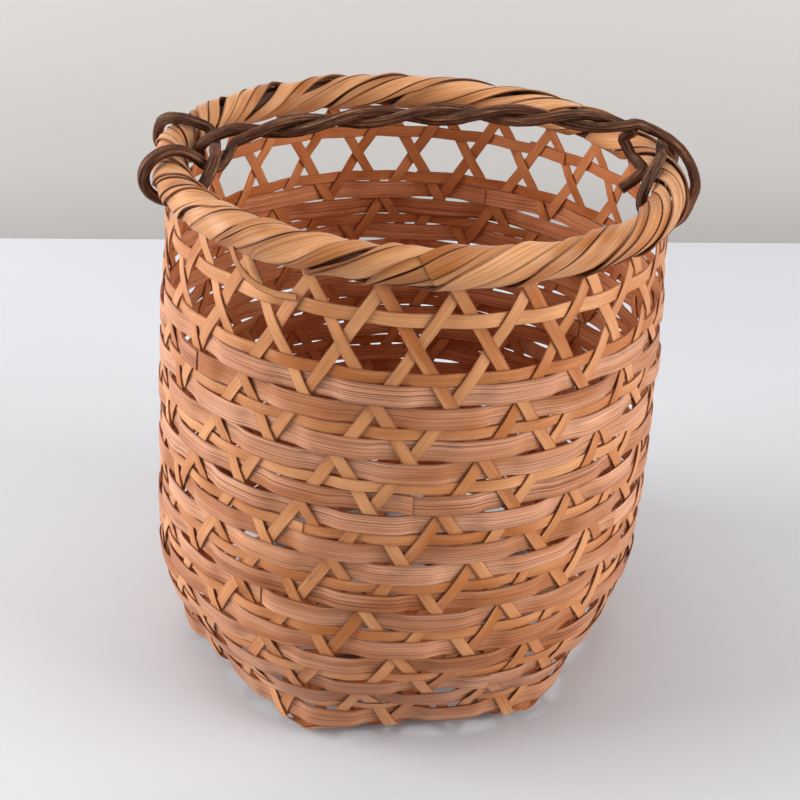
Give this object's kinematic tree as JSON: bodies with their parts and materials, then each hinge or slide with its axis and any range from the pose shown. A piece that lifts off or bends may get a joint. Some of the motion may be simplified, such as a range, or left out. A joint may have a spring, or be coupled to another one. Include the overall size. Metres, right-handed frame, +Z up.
{
  "type": "bamboo flower basket",
  "caption": "Open hexagonal-weave bamboo flower basket with inserted wide bands, a wrapped round rim and a twisted vine handle lashed across it.",
  "frame": {"origin": "middle of the woven base, on the surface that the basket stands on", "axes": "+Z up, -Y towards the front that the picture shows, +X to the viewer's right"},
  "size_m": [0.2331, 0.2248, 0.2471],
  "materials": {
    "narrow_strip": "split bamboo, warm tan, satin",
    "wide_band": "wide split bamboo, pinkish brown, strong lengthwise grain, satin",
    "batten": "plain split bamboo, satin",
    "hoop": "half-round bamboo, satin, hidden by the wraps",
    "rim_wrap": "wide split bamboo, light yellow tan, satin",
    "vine": "dark brown ridged bark, matt"
  },
  "bodies": {
    "root": {"ring_strip_1": "narrow_strip", "ring_strip_2": "narrow_strip", "ring_strip_3": "narrow_strip", "ring_strip_4": "narrow_strip", "ring_strip_5": "narrow_strip", "ring_strip_6": "narrow_strip", "ring_strip_7": "narrow_strip", "ring_strip_8": "narrow_strip", "ring_strip_9": "narrow_strip", "long_strip_01": "narrow_strip", "long_strip_02": "narrow_strip", "long_strip_03": "narrow_strip", "long_strip_04": "narrow_strip", "long_strip_05": "narrow_strip", "long_strip_06": "narrow_strip", "long_strip_07": "narrow_strip", "long_strip_08": "narrow_strip", "long_strip_09": "narrow_strip", "long_strip_10": "narrow_strip", "long_strip_11": "narrow_strip", "long_strip_12": "narrow_strip", "long_strip_13": "narrow_strip", "long_strip_14": "narrow_strip", "long_strip_15": "narrow_strip", "long_strip_16": "narrow_strip", "long_strip_17": "narrow_strip", "long_strip_18": "narrow_strip", "long_strip_19": "narrow_strip", "long_strip_20": "narrow_strip", "long_strip_21": "narrow_strip", "long_strip_22": "narrow_strip", "long_strip_23": "narrow_strip", "long_strip_24": "narrow_strip", "wide_band_2_upper": "wide_band", "wide_band_2_lower": "wide_band", "wide_band_3_upper": "wide_band", "wide_band_3_lower": "wide_band", "wide_band_4_upper": "wide_band", "wide_band_4_lower": "wide_band", "wide_band_5_upper": "wide_band", "wide_band_5_lower": "wide_band", "wide_band_6_upper": "wide_band", "wide_band_6_lower": "wide_band", "wide_band_7_upper": "wide_band", "wide_band_7_lower": "wide_band", "wide_band_8_upper": "wide_band", "wide_band_8_lower": "wide_band", "wide_band_9": "wide_band", "base_batten_front": "batten", "base_batten_middle": "batten", "base_batten_rear": "batten", "rim_hoop_outer": "hoop", "rim_hoop_inner": "hoop", "rim_wrap_1": "rim_wrap", "rim_wrap_2": "rim_wrap", "rim_wrap_3": "rim_wrap", "handle_vine": "vine"}
  },
  "joints": []
}
